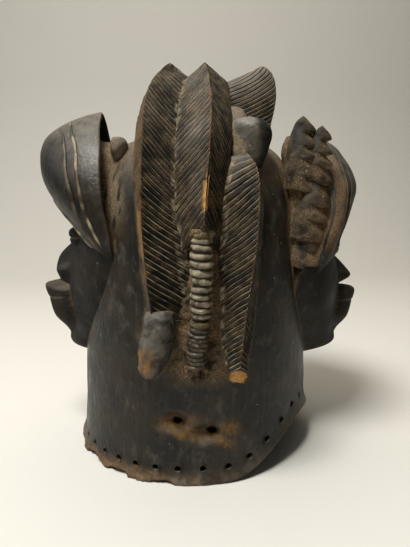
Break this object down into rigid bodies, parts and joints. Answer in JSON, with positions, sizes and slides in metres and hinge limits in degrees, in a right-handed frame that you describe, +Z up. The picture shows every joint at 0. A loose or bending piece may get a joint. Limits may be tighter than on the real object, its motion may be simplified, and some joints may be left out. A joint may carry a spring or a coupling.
{
  "type": "janus helmet mask",
  "caption": "Dark carved wooden helmet mask with two opposed faces under hair hoods, a tall herringbone comb over the crown and a pierced rim, hollow below for the head.",
  "frame": {"origin": "middle of the footprint, at the height of the foot of the rim", "axes": "+Z up; the faces look along -X and +X; the comb of ridges runs over the crown along Y, its plait, knobs and tie holes on the -Y side"},
  "size_m": [0.321, 0.2622, 0.367],
  "materials": {
    "carved_wood": "dark worn patina, semi-gloss on the high places, dusty brown in the cuts, bare wood at chips"
  },
  "bodies": {
    "root": {"helmet_mask": "carved_wood"}
  },
  "joints": []
}
